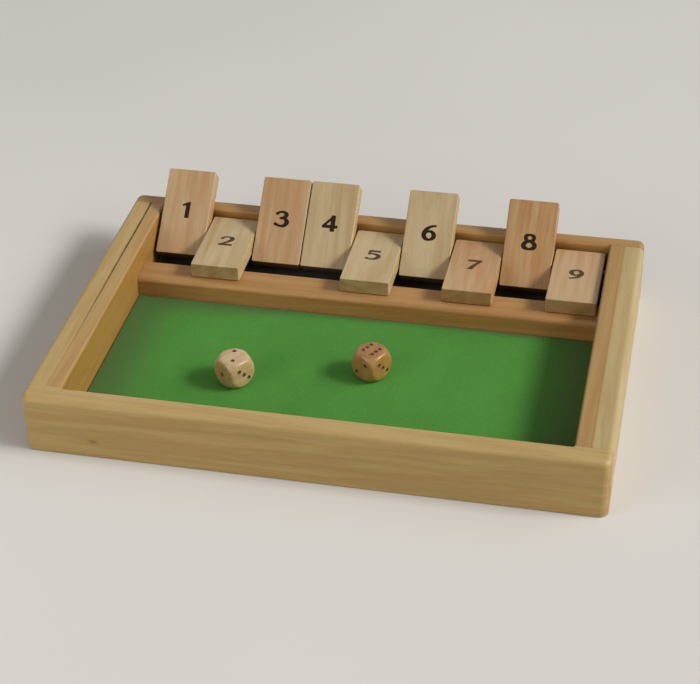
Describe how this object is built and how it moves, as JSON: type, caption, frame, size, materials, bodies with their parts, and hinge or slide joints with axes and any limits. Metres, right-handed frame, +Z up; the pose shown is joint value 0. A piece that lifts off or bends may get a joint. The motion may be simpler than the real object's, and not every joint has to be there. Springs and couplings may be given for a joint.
{
  "type": "shut the box dice game",
  "caption": "Shallow wooden dice tray with a green felt floor, a row of numbered flap tiles that tip over a rod behind a rail, and loose wooden dice.",
  "frame": {"origin": "On the table, under the middle of the outer box of the game with its tiles set as stored.", "axes": "+X along the row of tiles towards the highest number, +Y from the player to the tiles, +Z up."},
  "size_m": [0.29, 0.2036, 0.0511],
  "materials": {
    "frame_wood": "clear satin lacquer on pale hardwood",
    "rail_wood": "clear satin lacquer on orange-brown wood",
    "pale_tile_wood": "sanded pale wood, black printed numbers",
    "warm_tile_wood": "sanded pinkish wood, black printed numbers",
    "die_wood": "lacquered wood with dark drilled pips",
    "panel_plywood": "bare thin plywood",
    "green_felt": "green felt, short nap",
    "black_board": "matt black painted board",
    "rod_steel": "drawn steel wire"
  },
  "bodies": {
    "tray": {"front_board": "frame_wood", "back_board": "frame_wood", "left_board": "frame_wood", "right_board": "frame_wood", "left_cheek": "frame_wood", "right_cheek": "frame_wood", "base_panel": "panel_plywood", "felt_sheet": "green_felt", "well_floor": "black_board", "rail": "rail_wood", "tile_rod": "rod_steel"},
    "flap_1": {"tile_1": "warm_tile_wood"},
    "flap_2": {"tile_2": "pale_tile_wood"},
    "flap_3": {"tile_3": "warm_tile_wood"},
    "flap_4": {"tile_4": "pale_tile_wood"},
    "flap_5": {"tile_5": "pale_tile_wood"},
    "flap_6": {"tile_6": "pale_tile_wood"},
    "flap_7": {"tile_7": "pale_tile_wood"},
    "flap_8": {"tile_8": "warm_tile_wood"},
    "flap_9": {"tile_9": "pale_tile_wood"},
    "loose_die_1": {"die_1": "die_wood"},
    "loose_die_2": {"die_2": "die_wood"}
  },
  "joints": [
    {"name": "flip_tile_1", "type": "hinge", "parent": "tray", "child": "flap_1", "pos_m": [-0.1112, 0.07165, 0.0245], "axis": [-1, 0, 0], "range_deg": [-139.4, 0]},
    {"name": "flip_tile_2", "type": "hinge", "parent": "tray", "child": "flap_2", "pos_m": [-0.0834, 0.07165, 0.0245], "axis": [-1, 0, 0], "range_deg": [0, 139.4]},
    {"name": "flip_tile_3", "type": "hinge", "parent": "tray", "child": "flap_3", "pos_m": [-0.0556, 0.07165, 0.0245], "axis": [-1, 0, 0], "range_deg": [-139.4, 0]},
    {"name": "flip_tile_4", "type": "hinge", "parent": "tray", "child": "flap_4", "pos_m": [-0.0278, 0.07165, 0.0245], "axis": [-1, 0, 0], "range_deg": [-139.4, 0]},
    {"name": "flip_tile_5", "type": "hinge", "parent": "tray", "child": "flap_5", "pos_m": [0, 0.07165, 0.0245], "axis": [-1, 0, 0], "range_deg": [0, 139.4]},
    {"name": "flip_tile_6", "type": "hinge", "parent": "tray", "child": "flap_6", "pos_m": [0.0278, 0.07165, 0.0245], "axis": [-1, 0, 0], "range_deg": [-139.4, 0]},
    {"name": "flip_tile_7", "type": "hinge", "parent": "tray", "child": "flap_7", "pos_m": [0.0556, 0.07165, 0.0245], "axis": [-1, 0, 0], "range_deg": [0, 139.4]},
    {"name": "flip_tile_8", "type": "hinge", "parent": "tray", "child": "flap_8", "pos_m": [0.0834, 0.07165, 0.0245], "axis": [-1, 0, 0], "range_deg": [-139.4, 0]},
    {"name": "flip_tile_9", "type": "hinge", "parent": "tray", "child": "flap_9", "pos_m": [0.1112, 0.07165, 0.0245], "axis": [-1, 0, 0], "range_deg": [0, 139.4]},
    {"name": "lift_die_1", "type": "slide", "parent": "tray", "child": "loose_die_1", "axis": [0, 0, 1], "range_m": [0, 0.06]},
    {"name": "lift_die_2", "type": "slide", "parent": "tray", "child": "loose_die_2", "axis": [0, 0, 1], "range_m": [0, 0.06]}
  ]
}
